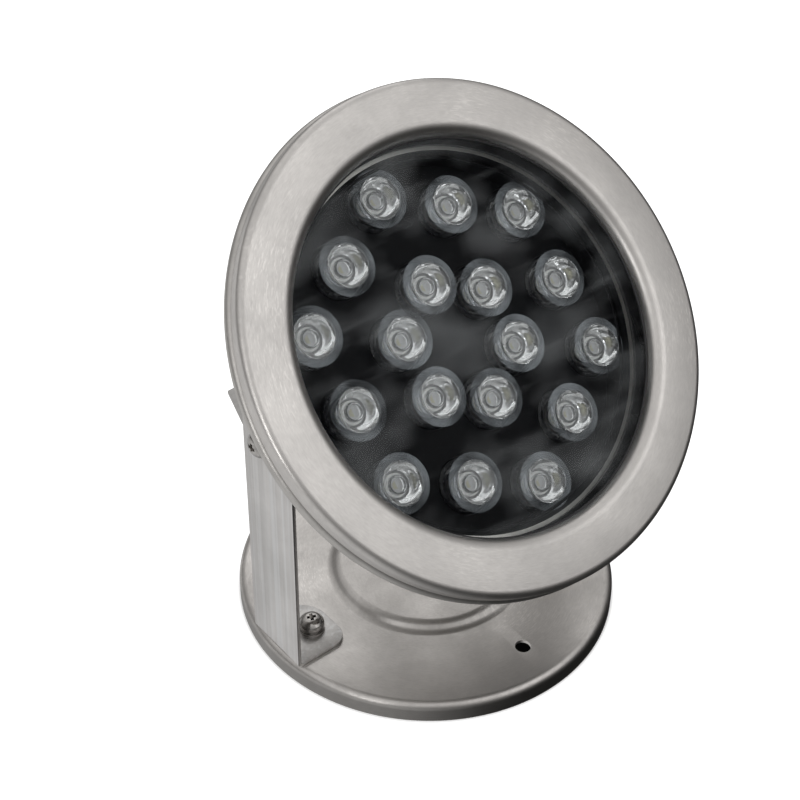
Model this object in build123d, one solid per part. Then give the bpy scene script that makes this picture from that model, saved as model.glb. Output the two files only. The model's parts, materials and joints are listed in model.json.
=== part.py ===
from build123d import *
from math import cos, radians, sin
import os

# Underwater pond light: a round stainless-steel LED head that tilts between two upright arms
# on a pressed base. Millimetres, +Z up, origin at the centre of the base's underside.
# The lamp faces -Y, and the arms stand at -X (left) and +X (right).

# Sheet metal
SHEET = 1.2             # pressed pans and rings
STRIP = 1.5             # flat strip of the arms and lugs

# Base
BASE_R = 73.0
BASE_H = 8.0
BASE_EDGE_R = 3.0       # rounding of the pan's top edge
BOSS_R = 37.5           # foot of the raised centre
BOSS_RISE = 3.0
BOSS_ROUND = 4.0        # both bends of the boss's slope
DECK_HOLE_R = 3.0
DECK_HOLE_Y = 56.4

# Arms and their hardware
ARM_X = 71.9            # outer face of an arm
ARM_WIDTH = 27.4
ARM_ABOVE_PIVOT = 14.0
ARM_CORNER_R = 8.5
TAB_TIP_X = 48.3
TAB_FRONT_R = 6.5       # rounding of the tab's front and back corners
TAB_BACK_R = 12.5
FOOT_SCREW_X = 56.7
FOOT_SCREW_Y = -1.4
BOLT_R = 2.5            # M5
HOLE_R = 2.75
FLAT_WASHER = 1.0
SPRING_WASHER = 1.3
NUT_H = 4.0

# Head: its place, then depths counted back from the bezel's front face
PIVOT_Z = 107.8
PIVOT_DEPTH = 39.76
PIVOT_DROP = 1.73       # how far the pivot lies below the lamp's axis
TILT = 43.8             # degrees that the lamp looks above the horizon
HEAD_R = 90.0           # rolled rim of the housing
BEZEL_R = 89.0
WINDOW_R = 69.0
LIP_DEPTH = 5.0
FLANGE_BACK = 11.2
ROLL_R = 2.4
FRONT_GASKET = 1.2
GLASS_R = 74.8
GLASS = 5.0
REAR_GASKET = 1.8
RECESS_R = 76.8         # outside of the recess that holds the glass
CUP_R = 68.2            # outside of the lamp chamber
SHOULDER_DEPTH = 31.6
REAR_CUP_R = 57.0       # outside of the driver chamber
HOUSING_DEPTH = 50.0

# Lug, rim studs and light engine
LUG_OUTER_X = 70.0
LUG_HALF_WIDTH = 19.0
LUG_DEPTH = 55.0
PIVOT_PLAY = 0.08
STUD_CIRCLE_R = 82.2
STUD_COUNT = 5
LED_RING_R = 22.4       # inner hexagon of LEDs
LED_HEX_R = 56.1        # corners of the outer hexagon
LED_TURN = -6.3         # degrees from straight up to the first LED
SMALL_BOLT_R = 1.5      # M3
BOARD_SCREW_CIRCLE_R = 39.0
POST_X = 30.0
POST_Y = 19.0
LEAD_X = 3.0
LENS_FRONT = 14.5
LENS_R = 7.7
DOME_R = 2.8
HOLDER_R = 10.0
MASK_FRONT = 23.2
LINER_FRONT = 15.5      # front edge of the black wall round the mask
HOLDER_FRONT = 22.6
BOARD_FRONT = 25.8
BOARD = 1.6
BOARD_R = 65.8
SPREADER = 3.0
DRIVER_FRONT = 36.4

# Cable gland, M16
GLAND_R = 8.0
CABLE_R = 4.0
SEAL_LENGTH = 10.0

GLASS_FRONT = LIP_DEPTH + FRONT_GASKET
GLASS_BACK = GLASS_FRONT + GLASS
LEDGE_DEPTH = GLASS_BACK + REAR_GASKET
SPREADER_FRONT = BOARD_FRONT + BOARD
SPREADER_BACK = SPREADER_FRONT + SPREADER
DRIVER_BACK = DRIVER_FRONT + BOARD
PLATE_TOP = BASE_H
TAB_TOP = PLATE_TOP + STRIP

aim = Vector(0, -cos(radians(TILT)), sin(radians(TILT)))
up_face = Vector(0, sin(radians(TILT)), cos(radians(TILT)))
face_centre = Vector(0, 0, PIVOT_Z) + aim * PIVOT_DEPTH + up_face * PIVOT_DROP
HEAD = Plane(origin=face_centre, x_dir=(1, 0, 0), z_dir=aim).location
FACE_BACK = Location((0, 0, 0), (180, 0, 0))


# ---- shared shapes ----

def turned(corners, radii=0):
    """Solid turned about Z from (radius, height) corners, each rounded by its own radius."""
    outline = FilletPolyline(*[(r, 0, z) for r, z in corners], radius=radii, close=True)
    return revolve(make_face(outline), axis=Axis.Z)


def sunk(corners):
    """Turn (radius, depth behind the bezel face) corners into (radius, height) ones."""
    return [(r, -depth) for r, depth in corners]


def tube(outer, inner, length):
    return extrude(Circle(outer) - Circle(inner), length)


def at_depth(shape, depth, x=0.0, y=0.0):
    """Stand a shape on the plane at this depth, pointing to the front of the lamp."""
    return Pos(x, y, -depth) * shape


def group(solids):
    return Compound(children=[s for shape in solids for s in shape.solids()])


def pan_screw(length, bolt_r=BOLT_R, head_r=4.75, head_h=3.6):
    """Cross-recess pan-head screw: its head stands on z = 0 and its shank points down."""
    corners = [(0, 0), (head_r, 0), (head_r, 0.42 * head_h), (0.62 * head_r, head_h), (0, head_h)]
    head = turned(corners, [0, 0, 0.48 * head_h, 0.75 * head_h, 0])
    slot = Rectangle(head_r * 1.15, head_r * 0.36)
    cross = slot + Rot(0, 0, 90) * slot
    recess = Pos(0, 0, head_h * 0.4) * extrude(cross, head_h)
    shank = Pos(0, 0, -length) * extrude(Circle(bolt_r), length)
    return head - recess + shank


def spring_washer(outer=4.3, inner=2.65, height=SPRING_WASHER):
    split = Pos(outer / 2, 0, height / 2) * Rot(25, 0, 0) * Box(outer, 0.9, 3 * height)
    return tube(outer, inner, height) - split


def flat_washer(outer=5.0, inner=2.65):
    return tube(outer, inner, FLAT_WASHER)


def hex_body(flats, height, bore, chamfer_depth=0.6):
    """Hexagonal nut body with its corners turned off at both ends."""
    corner = flats / 2 / cos(radians(30))
    blank = extrude(RegularPolygon(corner, 6), height)
    cone = chamfer(Cylinder(corner + 0.01, height).edges().filter_by(GeomType.CIRCLE), chamfer_depth)
    return (blank & Pos(0, 0, height / 2) * cone) - extrude(Circle(bore), height)


def nut(flats=8.0, height=NUT_H, bolt_r=BOLT_R):
    return hex_body(flats, height, bolt_r + 0.02)


# ---- stand ----

def base_plate():
    """Pressed pan with a raised centre, open underneath."""
    wall = BASE_R - SHEET
    under = BASE_H - SHEET
    boss_top = BASE_H + BOSS_RISE
    crown = BOSS_R - BOSS_RISE
    corners = [
        (BASE_R, 0), (BASE_R, BASE_H), (BOSS_R, BASE_H), (crown, boss_top), (0, boss_top),
        (0, boss_top - SHEET), (crown - 0.5, boss_top - SHEET), (BOSS_R - 0.5, under),
        (wall, under), (wall, 0),
    ]
    radii = [
        0, BASE_EDGE_R, BOSS_ROUND, BOSS_ROUND, 0,
        0, BOSS_ROUND - SHEET, BOSS_ROUND + SHEET, BASE_EDGE_R - SHEET, 0,
    ]
    pan = turned(corners, radii)
    for y in (-DECK_HOLE_Y, DECK_HOLE_Y):
        pan -= Pos(0, y, 0) * Cylinder(DECK_HOLE_R, 3 * BASE_H)
    for x in (-FOOT_SCREW_X, FOOT_SCREW_X):
        pan -= Pos(x, FOOT_SCREW_Y, 0) * Cylinder(HOLE_R, 3 * BASE_H)
    return pan


def left_arm():
    """Flat strip bent to an L: an upright that carries the head and a tab screwed to the base."""
    top = PIVOT_Z + ARM_ABOVE_PIVOT
    inner_x = -ARM_X + STRIP
    corners = [
        (-ARM_X, PLATE_TOP), (-TAB_TIP_X, PLATE_TOP), (-TAB_TIP_X, TAB_TOP),
        (inner_x, TAB_TOP), (inner_x, top), (-ARM_X, top),
    ]
    points = [(x, 0, z) for x, z in corners]
    outline = FilletPolyline(*points, radius=[2.2, 0, 0, 0.7, 0, 0], close=True)
    strip = extrude(make_face(outline), ARM_WIDTH / 2, both=True)
    strip = fillet(strip.edges().filter_by(Axis.X).group_by(Axis.Z)[-1], ARM_CORNER_R)
    for place, radius in ((0, TAB_FRONT_R), (-1, TAB_BACK_R)):
        corner = strip.edges().filter_by(Axis.Z).group_by(Axis.X)[-1].sort_by(Axis.Y)[place]
        strip = fillet(corner, radius)
    strip -= Pos(-FOOT_SCREW_X, FOOT_SCREW_Y, TAB_TOP) * Cylinder(HOLE_R, 4 * STRIP)
    return strip - Pos(-ARM_X, 0, PIVOT_Z) * Rot(0, 90, 0) * Cylinder(HOLE_R, 4 * STRIP)


def at_feet(shape, height):
    """Both copies of a piece of foot hardware, standing at this height."""
    return group([Pos(x, FOOT_SCREW_Y, height) * shape for x in (-FOOT_SCREW_X, FOOT_SCREW_X)])


def at_pivots(shape, distance):
    """Both copies of a piece of pivot hardware, pointing outwards, this far from the middle."""
    return group([
        Plane(origin=(side * distance, 0, PIVOT_Z), x_dir=(0, 1, 0), z_dir=(side, 0, 0)).location * shape
        for side in (-1, 1)
    ])


def foot_hardware():
    washer_top = TAB_TOP + FLAT_WASHER
    seat = washer_top + SPRING_WASHER
    underside = BASE_H - SHEET
    return {
        "foot_screws": at_feet(pan_screw(seat - underside + NUT_H + 0.8), seat),
        "foot_flat_washers": at_feet(flat_washer(), TAB_TOP),
        "foot_spring_washers": at_feet(spring_washer(), washer_top),
        "foot_nuts": at_feet(nut(), underside - NUT_H),
    }


def pivot_hardware():
    washer_face = ARM_X + FLAT_WASHER
    seat = washer_face + SPRING_WASHER
    inner_face = LUG_OUTER_X - STRIP - 0.3
    nut_face = inner_face - FLAT_WASHER - NUT_H
    return {
        "pivot_screws": at_pivots(pan_screw(seat - nut_face + 1.0), seat),
        "pivot_flat_washers": at_pivots(flat_washer(), ARM_X),
        "pivot_spring_washers": at_pivots(spring_washer(), washer_face),
        "pivot_inner_washers": at_pivots(flat_washer(), inner_face - FLAT_WASHER),
        "pivot_locknuts": at_pivots(nut(), nut_face),
    }


# ---- head: casing, glass and rim (in the head's own frame, depth = -Z) ----

def bezel_ring():
    """Drawn front ring: a lip rolled in around the window, a flat face and a rounded outer edge."""
    lip_r = 4.6
    edge_r = 2.8
    foot = FLANGE_BACK - 2 * ROLL_R - 0.45
    inside, outside = WINDOW_R + SHEET, BEZEL_R - SHEET
    corners = [
        (WINDOW_R, LIP_DEPTH), (WINDOW_R, 0), (BEZEL_R, 0), (BEZEL_R, foot),
        (outside, foot), (outside, SHEET), (inside, SHEET), (inside, LIP_DEPTH),
    ]
    radii = [0, lip_r, edge_r, 0, 0, edge_r - SHEET, lip_r - SHEET, 0]
    return turned(sunk(corners), radii)


def housing_rim():
    """Spun ring at the front of the housing: rolled edge, flange, and the recess that holds the glass."""
    t = SHEET
    flange = FLANGE_BACK - t
    roll_x = HEAD_R - ROLL_R
    recess = RECESS_R - t
    ledge_back = LEDGE_DEPTH + t
    corners = [
        (roll_x, flange), (recess, flange), (recess, LEDGE_DEPTH), (CUP_R - t, LEDGE_DEPTH),
        (CUP_R - t, ledge_back), (RECESS_R, ledge_back), (RECESS_R, FLANGE_BACK), (roll_x, FLANGE_BACK),
    ]
    ring = turned(sunk(corners), [0, 0.6, 0.4, 0, 0, 1.4, 0.4, 0])
    ring += at_depth(Torus(roll_x, ROLL_R), FLANGE_BACK - ROLL_R)
    for x, y in stud_places():
        ring -= at_depth(Cylinder(HOLE_R, 3 * t), FLANGE_BACK, x, y)
    return ring


def housing_cup():
    """Two-step drawn can welded to the back of the rim: lamp chamber, then driver chamber."""
    t = SHEET
    front = LEDGE_DEPTH + t
    back = HOUSING_DEPTH
    shoulder = SHOULDER_DEPTH - t
    corners = [
        (CUP_R - t, front), (CUP_R - t, shoulder), (REAR_CUP_R - t, shoulder), (REAR_CUP_R - t, back - t),
        (0, back - t), (0, back), (REAR_CUP_R, back), (REAR_CUP_R, SHOULDER_DEPTH),
        (CUP_R, SHOULDER_DEPTH), (CUP_R, front),
    ]
    can = turned(sunk(corners), [0, 2.8, 1.2, 6.8, 0, 0, 8.0, 0.6, 4.0, 0])
    return can - at_depth(Cylinder(GLAND_R + 0.1, 4 * t), back)


def stud_places():
    """Centres of the rim studs: one straight down, the rest evenly spaced."""
    turns = [radians(180 + 360 * k / STUD_COUNT) for k in range(STUD_COUNT)]
    return [(STUD_CIRCLE_R * sin(a), STUD_CIRCLE_R * cos(a)) for a in turns]


def rim_hardware():
    """Studs welded inside the bezel come through the flange to spring washers and nuts."""
    washer_back = FLANGE_BACK + SPRING_WASHER
    nut_back = washer_back + NUT_H
    stud = extrude(Circle(BOLT_R), nut_back + 1.0 - SHEET)
    places = stud_places()
    return {
        "bezel_studs": group([at_depth(stud, nut_back + 1.0, x, y) for x, y in places]),
        "rim_spring_washers": group([at_depth(spring_washer(), washer_back, x, y) for x, y in places]),
        "rim_nuts": group([at_depth(nut(), nut_back, x, y) for x, y in places]),
    }


def glazing():
    gasket_outer = GLASS_R + 0.4
    return {
        "front_gasket": at_depth(tube(gasket_outer, WINDOW_R - 0.6, FRONT_GASKET), GLASS_FRONT),
        "window_glass": at_depth(chamfer(extrude(Circle(GLASS_R), GLASS).edges(), 0.4), GLASS_BACK),
        "rear_gasket": at_depth(tube(gasket_outer, WINDOW_R - 0.6, REAR_GASKET), LEDGE_DEPTH),
    }


def left_lug():
    """Bent plate welded behind the flange; the pivot screw passes through it."""
    start = LEDGE_DEPTH + SHEET
    outer, inner = -LUG_OUTER_X, -LUG_OUTER_X + STRIP
    foot = outer - 6.0
    foot_back = start + STRIP
    corners = [
        (foot, start), (inner, start), (inner, LUG_DEPTH),
        (outer, LUG_DEPTH), (outer, foot_back), (foot, foot_back),
    ]
    points = [(x, 0, -depth) for x, depth in corners]
    outline = FilletPolyline(*points, radius=[0, 2.0, 0, 0, 0.5, 0], close=True)
    plate = extrude(make_face(outline), LUG_HALF_WIDTH, both=True)
    plate = fillet(plate.edges().filter_by(Axis.X).group_by(Axis.Z)[0], 1.2)
    plate = fillet(plate.edges().filter_by(Axis.Z).group_by(Axis.X)[0], 3.0)
    hole = Pos(outer, -PIVOT_DROP, -PIVOT_DEPTH) * Rot(0, 90, 0) * Cylinder(BOLT_R + PIVOT_PLAY, 4 * STRIP)
    return plate - hole


# ---- head: light engine ----

def led_places():
    """Six LEDs in an inner hexagon and twelve round the sides of an outer one."""
    places = []
    for k in range(6):
        corner = radians(LED_TURN + 60 * k)
        middle = corner + radians(30)
        side_r = LED_HEX_R * cos(radians(30))
        for r, turn in ((LED_RING_R, corner), (LED_HEX_R, corner), (side_r, middle)):
            places.append((r * sin(turn), r * cos(turn)))
    return places


def screw_places():
    turns = [radians(LED_TURN + 60 * k) for k in range(6)]
    return [(BOARD_SCREW_CIRCLE_R * sin(a), BOARD_SCREW_CIRCLE_R * cos(a)) for a in turns]


def post_places():
    return [(x, y) for x in (-POST_X, POST_X) for y in (-POST_Y, POST_Y)]


def at_leds(shape):
    return group([Pos(x, y, 0) * shape for x, y in led_places()])


def lens():
    """Clear collimator: flat front with a thin rim, bowed sides, and a well for the LED's dome."""
    rim = LENS_FRONT + 1.2
    foot = BOARD_FRONT - 2.2
    well = LENS_FRONT + 4.9
    corners = [
        (0, LENS_FRONT), (LENS_R, LENS_FRONT), (LENS_R, rim), (LENS_R - 0.5, rim),
        (LENS_R - 1.1, well), (4.9, foot), (3.4, foot), (3.1, well), (0, well),
    ]
    return turned(sunk(corners), [0, 0.4, 0, 0, 14.0, 0, 0, 1.2, 0])


def lens_holder():
    corners = [
        (HOLDER_R, BOARD_FRONT), (HOLDER_R, HOLDER_FRONT + 0.7), (9.2, HOLDER_FRONT),
        (8.7, HOLDER_FRONT), (5.9, 24.4), (5.9, BOARD_FRONT),
    ]
    return turned(sunk(corners), [0, 0.3, 0.2, 0.2, 0.2, 0])


def led_package():
    body = tube(4.0, 1.5, 2.2) - Pos(0, 0, 1.4) * extrude(Circle(2.9), 1.0)
    return at_depth(body + extrude(Circle(1.5), 1.4), BOARD_FRONT)


def led_dome():
    """Soft clear dome over the LED chip, hollow where the chip sits."""
    base = BOARD_FRONT - 1.4
    wall_h = 1.2
    cap = Sphere(DOME_R, 0, align=(Align.CENTER, Align.CENTER, Align.MIN))
    dome = extrude(Circle(DOME_R), wall_h) + Pos(0, 0, wall_h) * cap
    return at_depth(dome - Box(2.0, 2.0, 1.0), base)


def mask_plate():
    """Black plate with a hole round each holder, in a wall that lines the lamp chamber."""
    wall = BOARD_R - SHEET
    plate_back = MASK_FRONT + 1.0
    corners = [
        (BOARD_R, LINER_FRONT), (BOARD_R, BOARD_FRONT), (wall, BOARD_FRONT), (wall, plate_back),
        (0, plate_back), (0, MASK_FRONT), (wall, MASK_FRONT), (wall, LINER_FRONT),
    ]
    mask = turned(sunk(corners), [0.5, 0, 0, 0, 0, 0, 0, 0.5])
    hole = extrude(Circle(HOLDER_R + 0.3), BOARD_FRONT - HOLDER_FRONT + 0.4)
    for x, y in led_places():
        mask -= at_depth(hole, BOARD_FRONT, x, y)
    return mask


def light_engine():
    board = extrude(Circle(BOARD_R), BOARD)
    spreader = extrude(Circle(64.0), SPREADER)
    for x, y in screw_places():
        board -= Pos(x, y, 0) * Cylinder(SMALL_BOLT_R + 0.1, 4 * BOARD)
        spreader -= Pos(x, y, 0) * Cylinder(SMALL_BOLT_R + 0.02, 4 * SPREADER)
    for x in (-LEAD_X, LEAD_X):
        board -= Pos(x, 0, 0) * Cylinder(1.0, 4 * BOARD)
        spreader -= Pos(x, 0, 0) * Cylinder(1.5, 4 * SPREADER)
    for x, y in post_places():
        spreader -= Pos(x, y, 0) * Cylinder(SMALL_BOLT_R + 0.02, 4.0)
    fixing = pan_screw(4.0, bolt_r=SMALL_BOLT_R, head_r=2.75, head_h=1.4)
    chip = Box(1.6, 1.6, 0.35, align=(Align.CENTER, Align.CENTER, Align.MIN))
    return {
        "mask_plate": mask_plate(),
        "lens_holders": at_leds(lens_holder()),
        "lenses": at_leds(lens()),
        "led_packages": at_leds(led_package()),
        "led_domes": at_leds(led_dome()),
        "led_chips": at_leds(at_depth(chip, BOARD_FRONT - 1.4)),
        "led_board": at_depth(board, SPREADER_FRONT),
        "heat_spreader": at_depth(spreader, SPREADER_BACK),
        "board_screws": group([at_depth(fixing, BOARD_FRONT, x, y) for x, y in screw_places()]),
    }


# ---- head: driver ----

def driver():
    gap = DRIVER_FRONT - SPREADER_BACK
    bore_depth = 3.4
    post = hex_body(5.5, gap, SMALL_BOLT_R + 0.02, 0.3)
    post += Pos(0, 0, bore_depth) * extrude(Circle(SMALL_BOLT_R + 0.1), gap - bore_depth)
    post += Pos(0, 0, gap) * extrude(Circle(SMALL_BOLT_R), 1.8)
    board = extrude(RectangleRounded(76.0, 52.0, 3.0), BOARD)
    for x, y in post_places():
        board -= Pos(x, y, 0) * Cylinder(SMALL_BOLT_R + 0.1, 4 * BOARD)
    screw = FACE_BACK * pan_screw(BOARD + 3.0, bolt_r=SMALL_BOLT_R, head_r=2.75, head_h=2.0)
    coil = FACE_BACK * (tube(7.0, 3.0, 8.0) + extrude(Circle(8.0), 1.2))
    can = FACE_BACK * chamfer(extrude(Circle(4.0), 8.5).edges().group_by(Axis.Z)[-1], 0.6)
    chip = FACE_BACK * extrude(Rectangle(6.0, 5.0), 1.6)
    block = FACE_BACK * chamfer(extrude(Rectangle(16.0, 8.0), 8.0).edges().group_by(Axis.Z)[-1], 1.0)
    for x in (-5.0, 0.0, 5.0):
        block -= FACE_BACK * Pos(x, 0, 4.0) * Cylinder(1.5, 10.0)
    lead = extrude(Circle(0.9), DRIVER_FRONT - BOARD_FRONT + 0.6)
    return {
        "driver_posts": group([at_depth(post, DRIVER_FRONT, x, y) for x, y in post_places()]),
        "driver_board": at_depth(board, DRIVER_BACK),
        "driver_screws": group([at_depth(screw, DRIVER_BACK, x, y) for x, y in post_places()]),
        "driver_coils": group([at_depth(coil, DRIVER_BACK, x, 8.0) for x in (-23.0, 23.0)]),
        "driver_capacitors": group([at_depth(can, DRIVER_BACK, x, -9.0) for x in (-28.0, -18.0, 22.0)]),
        "driver_chips": group([at_depth(chip, DRIVER_BACK, x, 20.5) for x in (-10.0, 0.0, 10.0)]),
        "terminal_block": at_depth(block, DRIVER_BACK, 0.0, -20.0),
        "red_lead": at_depth(lead, DRIVER_FRONT, LEAD_X),
        "black_lead": at_depth(lead, DRIVER_FRONT, -LEAD_X),
    }


# ---- head: cable gland (built pointing backwards from the rear wall) ----

def gland():
    out = Location((0, 0, -HOUSING_DEPTH), (180, 0, 0))
    oring = 1.6
    hex_h = 5.0
    seat = oring + hex_h
    collet = seat + 6.0
    inside = SHEET + 6.0
    body = Pos(0, 0, oring) * hex_body(22.0, hex_h, 5.2, 1.0)
    body += Pos(0, 0, -inside) * tube(GLAND_R, 5.2, inside + oring)
    body += Pos(0, 0, seat) * tube(GLAND_R, 6.4, collet - seat)
    body -= Pos(0, 0, oring + 2.0) * extrude(Circle(6.4), collet)
    seal = Pos(0, 0, oring + 2.0) * tube(6.4, CABLE_R, SEAL_LENGTH)
    nut_bore = GLAND_R + 0.02
    shell = Pos(0, 0, seat) * hex_body(20.0, 6.0, nut_bore, 0.8)
    mouth = CABLE_R + 0.4
    dome_corners = [
        (nut_bore, 0), (9.8, 0), (9.8, 5.0), (6.0, 8.5), (mouth, 8.5), (mouth, 4.2), (nut_bore, 1.0),
    ]
    dome = turned(dome_corners, [0, 0, 2.5, 1.0, 0.5, 0, 0])
    shell += Pos(0, 0, seat + 6.0) * dome
    return {
        "gland_body": out * body,
        "gland_oring": out * turned([(8.1, 0), (10.6, 0), (10.6, oring), (8.1, oring)], [0, 0.6, 0.6, 0]),
        "gland_seal": out * seal,
        "gland_nut": out * shell,
        "gland_locknut": out * Pos(0, 0, -SHEET - 3.5) * nut(20.0, 3.5, GLAND_R),
    }


# ---- assembly ----

stand_nodes = {
    "base_plate": base_plate(),
    "left_arm": left_arm(),
    "right_arm": mirror(left_arm(), about=Plane.YZ),
    **foot_hardware(),
    **pivot_hardware(),
}
head_nodes = {
    "bezel_ring": bezel_ring(),
    "housing_rim": housing_rim(),
    "housing_cup": housing_cup(),
    "left_lug": left_lug(),
    "right_lug": mirror(left_lug(), about=Plane.YZ),
    **rim_hardware(),
    **glazing(),
    **light_engine(),
    **driver(),
    **gland(),
}

os.makedirs("parts", exist_ok=True)
for name, shape in stand_nodes.items():
    export_step(shape, f"parts/{name}.step")
for name, shape in head_nodes.items():
    export_step(HEAD * shape, f"parts/{name}.step")
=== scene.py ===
import json
import math

import bmesh
import bpy
from mathutils import Matrix, Vector


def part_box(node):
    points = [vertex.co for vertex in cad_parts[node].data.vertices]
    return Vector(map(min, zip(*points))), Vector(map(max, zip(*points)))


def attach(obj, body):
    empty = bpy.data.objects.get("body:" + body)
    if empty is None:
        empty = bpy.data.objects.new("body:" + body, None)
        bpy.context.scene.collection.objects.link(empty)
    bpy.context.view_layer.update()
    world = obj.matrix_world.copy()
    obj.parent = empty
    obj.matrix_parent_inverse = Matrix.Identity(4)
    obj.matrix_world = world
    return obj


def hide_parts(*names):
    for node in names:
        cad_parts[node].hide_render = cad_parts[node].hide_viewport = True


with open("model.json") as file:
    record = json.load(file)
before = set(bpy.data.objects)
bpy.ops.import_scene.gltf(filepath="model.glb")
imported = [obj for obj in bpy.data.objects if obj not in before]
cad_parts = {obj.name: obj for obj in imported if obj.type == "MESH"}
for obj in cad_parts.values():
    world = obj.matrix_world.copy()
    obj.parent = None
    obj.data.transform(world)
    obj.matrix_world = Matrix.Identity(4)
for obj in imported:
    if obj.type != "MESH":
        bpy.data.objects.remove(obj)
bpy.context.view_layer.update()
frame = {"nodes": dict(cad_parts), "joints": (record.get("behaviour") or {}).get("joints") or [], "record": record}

# Underwater pond light, in metres, standing on its base at the origin and facing -Y.
# The lamp's own frame has x across, y up the face and z out of it, with its origin on the bezel's face.


# ---- base ----
# A pan of 1.2 mm stainless sheet, pressed with a raised centre and spun to a satin finish.
# Two holes in the deck take bolts to the pond's floor.

SHEET = 0.0012
base_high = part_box("base_plate")[1]
BASE_R = base_high.x
BASE_H = 0.008
BASE_EDGE_R = 0.003
BOSS_R = 0.0375
BOSS_TOP = base_high.z
BOSS_ROUND = 0.004
BOSS_SLOPE = 0.003
DECK_HOLE_R = 0.003
DECK_HOLE_Y = 0.0564
FOOT_X = 0.0567
FOOT_Y = -0.0014
HOLE_R = 0.00275


def wire(bm, corners, radii, steps=6):
    """Closed outline in the XZ plane with each corner rounded by its own radius."""
    points = [Vector((x, 0, z)) for x, z in corners]
    verts = [bm.verts.new(p) for p in points]
    for first, second in zip(verts, verts[1:] + verts[:1]):
        bm.edges.new((first, second))
    for k, radius in enumerate(radii):
        if radius:
            before = points[k - 1] - points[k]
            after = points[(k + 1) % len(points)] - points[k]
            offset = radius / math.tan(before.angle(after) / 2)
            bmesh.ops.bevel(bm, geom=[verts[k]], offset=offset, offset_type="OFFSET", segments=steps,
                            profile=0.5, affect="VERTICES", material=-1)


def close_seams(bm):
    bmesh.ops.remove_doubles(bm, verts=bm.verts, dist=1e-6)
    bmesh.ops.recalc_face_normals(bm, faces=bm.faces)


def turned(corners, radii, turns=192, steps=6):
    """Solid turned about Z from an outline of (radius, height) corners."""
    bm = bmesh.new()
    wire(bm, corners, radii, steps)
    bmesh.ops.spin(bm, geom=[*bm.verts, *bm.edges], cent=(0, 0, 0), axis=(0, 0, 1), dvec=(0, 0, 0),
                   angle=2 * math.pi, steps=turns, use_merge=True)
    close_seams(bm)
    return bm


def piece(name, bm, body, material, sharp=35):
    """Finish a mesh as a named piece that rides on a body."""
    mesh = bpy.data.meshes.new(name)
    bm.to_mesh(mesh)
    bm.free()
    for face in mesh.polygons:
        face.use_smooth = True
    mesh.set_sharp_from_angle(angle=math.radians(sharp))
    mesh.materials.append(material)
    obj = bpy.data.objects.new(name, mesh)
    bpy.context.scene.collection.objects.link(obj)
    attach(obj, body)
    return obj


def cut(obj, cutters):
    """Take each cutter mesh out of a piece."""
    for bm in cutters:
        mesh = bpy.data.meshes.new("cutter")
        bm.to_mesh(mesh)
        bm.free()
        cutter = bpy.data.objects.new("cutter", mesh)
        bpy.context.scene.collection.objects.link(cutter)
        trim = obj.modifiers.new("cut", "BOOLEAN")
        trim.operation = "DIFFERENCE"
        trim.solver = "EXACT"
        trim.object = cutter
        bpy.context.view_layer.update()
        shown = obj.evaluated_get(bpy.context.evaluated_depsgraph_get())
        whole = bpy.data.meshes.new_from_object(shown)
        obj.modifiers.clear()
        obj.data = whole
        bpy.data.objects.remove(cutter)
    obj.data.set_sharp_from_angle(angle=math.radians(35))


def rod(radius, length, place, sides=48):
    """Cylinder about the Z of a placing matrix, centred on it."""
    bm = bmesh.new()
    bmesh.ops.create_cone(bm, cap_ends=True, segments=sides, radius1=radius, radius2=radius, depth=length,
                          matrix=place)
    return bm


def node(tree, kind, inputs=(), **settings):
    """Add a shader node; each input is a value or another node's output."""
    made = tree.nodes.new(kind)
    for key, value in settings.items():
        setattr(made, key, value)
    for key, value in dict(inputs).items():
        if isinstance(value, bpy.types.NodeSocket):
            tree.links.new(value, made.inputs[key])
        else:
            made.inputs[key].default_value = value
    return made


def blank(name):
    """New material with its Principled shader."""
    material = bpy.data.materials.new(name)
    material.use_nodes = True
    return material, material.node_tree, material.node_tree.nodes["Principled BSDF"]


def ramp(tree, value, stops):
    """Colour ramp from (position, grey or colour) stops."""
    made = node(tree, "ShaderNodeValToRGB", {"Fac": value})
    elements = made.color_ramp.elements
    while len(elements) < len(stops):
        elements.new(0.5)
    for element, (position, colour) in zip(elements, stops):
        element.position = position
        element.color = (*colour, 1) if isinstance(colour, tuple) else (colour, colour, colour, 1)
    return made.outputs["Color"]


def object_place(tree):
    return node(tree, "ShaderNodeTexCoord").outputs["Object"]


def placed(tree, location=(0, 0, 0), turn=(0, 0, 0)):
    """Object coordinates seen from a part's own frame."""
    inputs = {"Vector": object_place(tree), "Location": location, "Rotation": turn}
    return node(tree, "ShaderNodeMapping", inputs, vector_type="TEXTURE").outputs["Vector"]


def stretched(tree, where, scale, turn=0.0):
    """Coordinates scaled along each axis, which draws a noise out, and turned about Z."""
    inputs = {"Vector": where, "Rotation": (0, 0, turn), "Scale": scale}
    return node(tree, "ShaderNodeMapping", inputs).outputs["Vector"]


def vector_math(tree, operation, inputs, result="Vector"):
    return node(tree, "ShaderNodeVectorMath", inputs, operation=operation).outputs[result]


def scalar_math(tree, operation, *values):
    return node(tree, "ShaderNodeMath", dict(enumerate(values)), operation=operation).outputs["Value"]


def spun_grain(tree, place, round_scale, cross_scale):
    """Coordinates that draw a noise out into strokes round the Z of the part's frame."""
    flat = vector_math(tree, "MULTIPLY", {0: place, 1: (1, 1, 0)})
    radius = vector_math(tree, "LENGTH", {0: flat}, "Value")
    heading = vector_math(tree, "NORMALIZE", {0: flat})
    heading = vector_math(tree, "SCALE", {0: heading, "Scale": round_scale})
    height = node(tree, "ShaderNodeSeparateXYZ", {"Vector": place}).outputs["Z"]
    across = scalar_math(tree, "MULTIPLY", scalar_math(tree, "ADD", radius, height), cross_scale)
    across = node(tree, "ShaderNodeCombineXYZ", {"Z": across}).outputs["Vector"]
    return vector_math(tree, "ADD", {0: heading, 1: across})


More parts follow.
